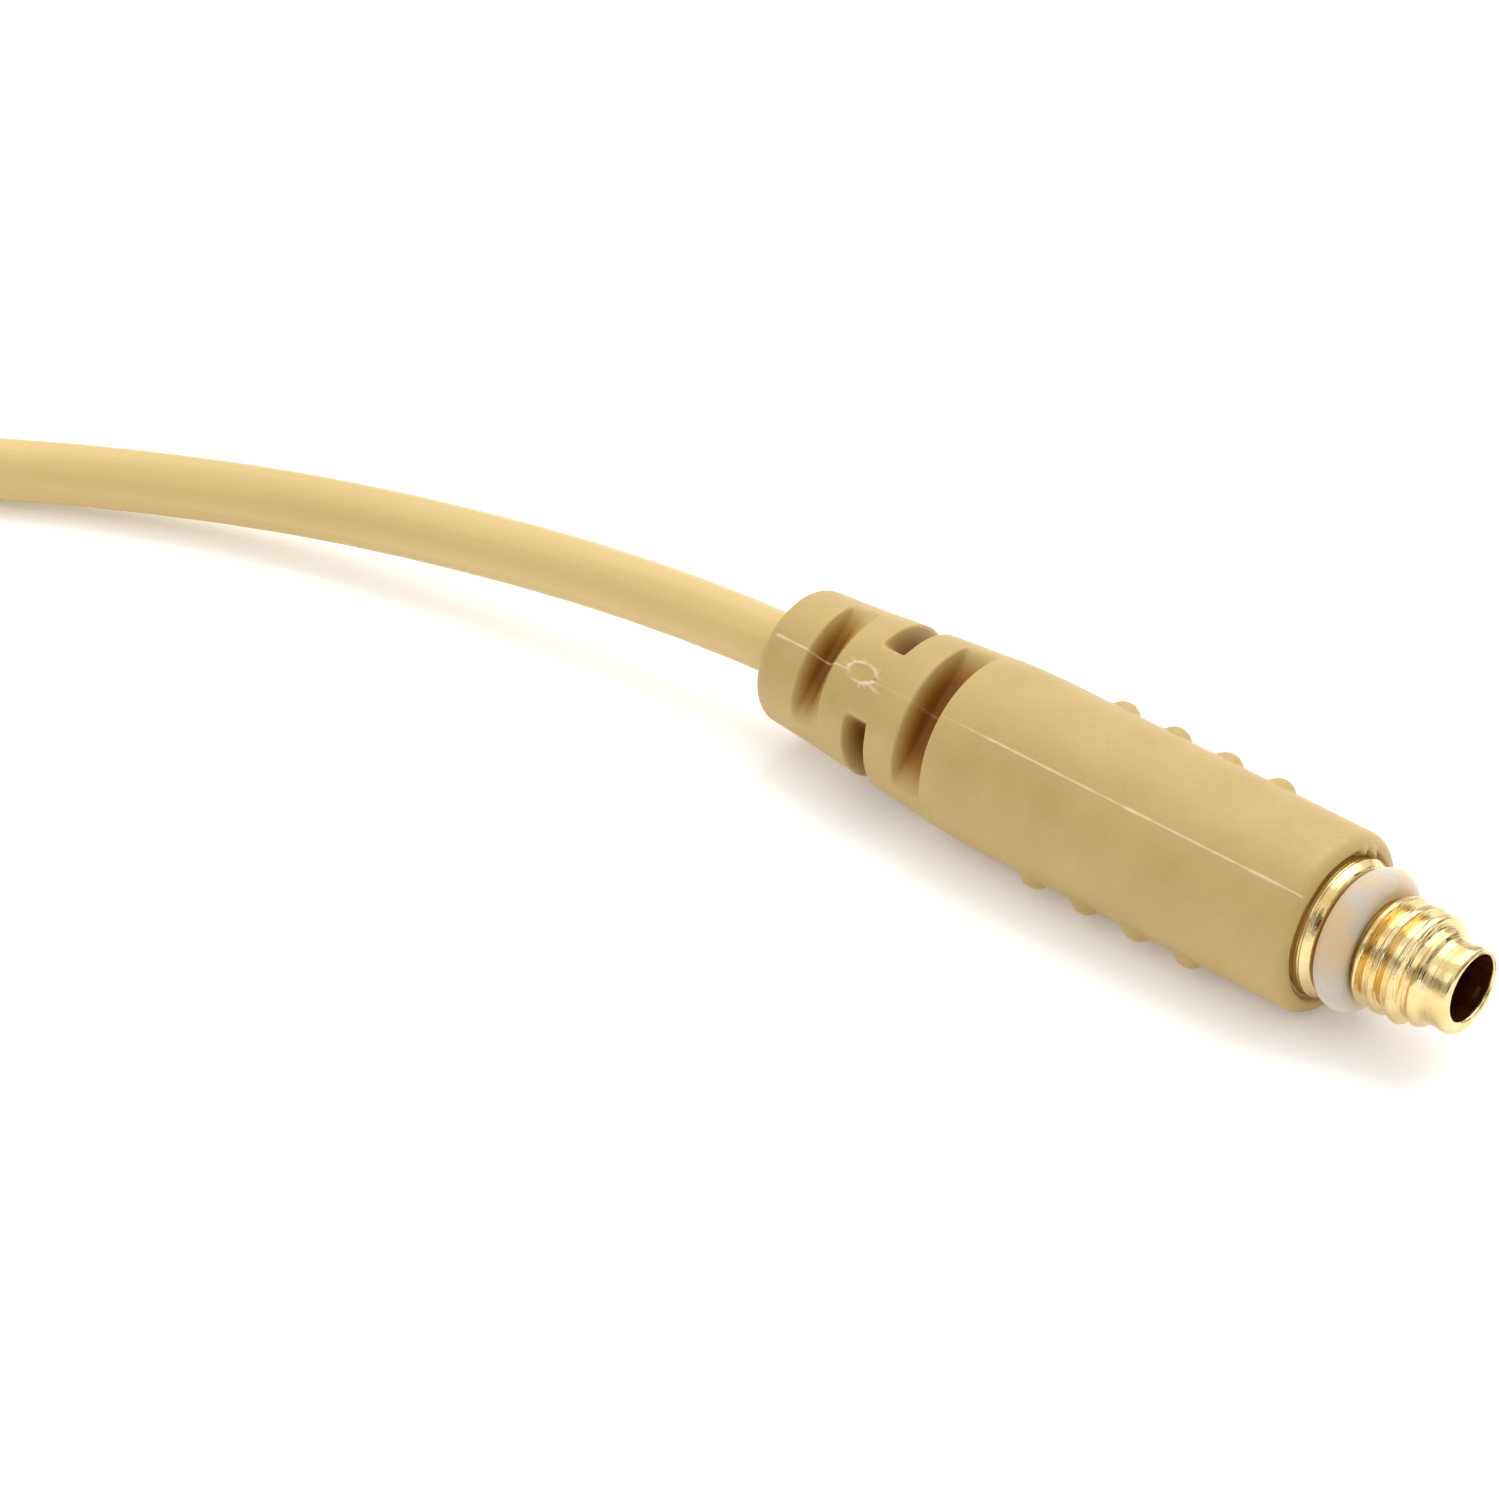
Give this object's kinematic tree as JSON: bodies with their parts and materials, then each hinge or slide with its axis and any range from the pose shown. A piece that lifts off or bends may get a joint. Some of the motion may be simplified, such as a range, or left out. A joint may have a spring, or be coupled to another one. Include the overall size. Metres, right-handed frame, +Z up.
{
  "type": "headset microphone",
  "caption": "Single-ear headset microphone with a swivelling boom, ear hook, coiled cord with garment clip, and a small threaded coaxial cord tip.",
  "frame": {"origin": "bottom centre of the headset itself, without its cord, as it lies flat on its side", "axes": "+X along the boom towards the mouth, +Y towards the top of the ear hook, +Z up from the surface it lies on"},
  "size_m": [0.1322, 0.1264, 0.0096],
  "materials": {
    "skin_plastic": "moulded satin",
    "skin_rubber": "fine moulded matte",
    "cord_jacket": "extruded matte",
    "skin_enamel": "satin enamel",
    "gold": "gold plated",
    "seal": "translucent silicone",
    "steel": "bright",
    "acetal": "natural",
    "ptfe": "smooth",
    "copper": "bare copper",
    "ferrule": "plain",
    "solder": "bright",
    "premould": "plain",
    "inner_jacket": "plain",
    "board": "solder mask",
    "foam": "open-cell foam",
    "tie": "ribbed"
  },
  "bodies": {
    "headset": {"housing_lower": "skin_plastic", "housing_upper": "skin_plastic", "housing_screw": "steel", "hook_sleeve": "skin_rubber", "hook_wire": "steel", "inner_cable": "inner_jacket", "hook_tail": "skin_rubber", "cord_hook_end": "cord_jacket", "cord_coil": "cord_jacket", "cord_tip_end": "cord_jacket", "cord_tie": "tie", "clip_base": "skin_plastic", "clip_pin": "steel", "clip_spring": "steel", "boot_overmould": "skin_rubber", "cord_jacket_end": "cord_jacket", "shield_braid": "copper", "core_insulation": "ptfe", "core_conductor": "copper", "crimp_ferrule": "ferrule", "inner_premould": "premould", "solder_joint": "solder", "centre_contact": "gold", "rear_insulator": "ptfe", "front_insulator": "ptfe", "connector_body": "gold", "sealing_ring": "seal"},
    "boom": {"swivel_drum": "acetal", "boom_tube": "skin_enamel", "boom_cable": "inner_jacket", "capsule_can": "skin_enamel", "amplifier_board": "board", "electret_capsule": "ferrule", "capsule_gasket": "inner_jacket", "front_mesh": "steel"},
    "windscreen": {"foam_windscreen": "foam"},
    "jaw": {"clip_jaw": "skin_plastic"}
  },
  "joints": [
    {"name": "boom_swing", "type": "hinge", "parent": "headset", "child": "boom", "pos_m": [-0.03094, 0.0032, 0.0028], "axis": [0, 0, 1], "range_deg": [-12, 45]},
    {"name": "windscreen_pull", "type": "slide", "parent": "boom", "child": "windscreen", "axis": [0.9251, -0.3785, 0.0294], "range_m": [0, 0.014]},
    {"name": "clip_open", "type": "hinge", "parent": "headset", "child": "jaw", "pos_m": [-0.05794, -0.0394, 0.0047], "axis": [-1, 0, 0], "range_deg": [0, 18], "stiffness_Nm_per_rad": 0.01, "springref_deg": -20.05}
  ]
}
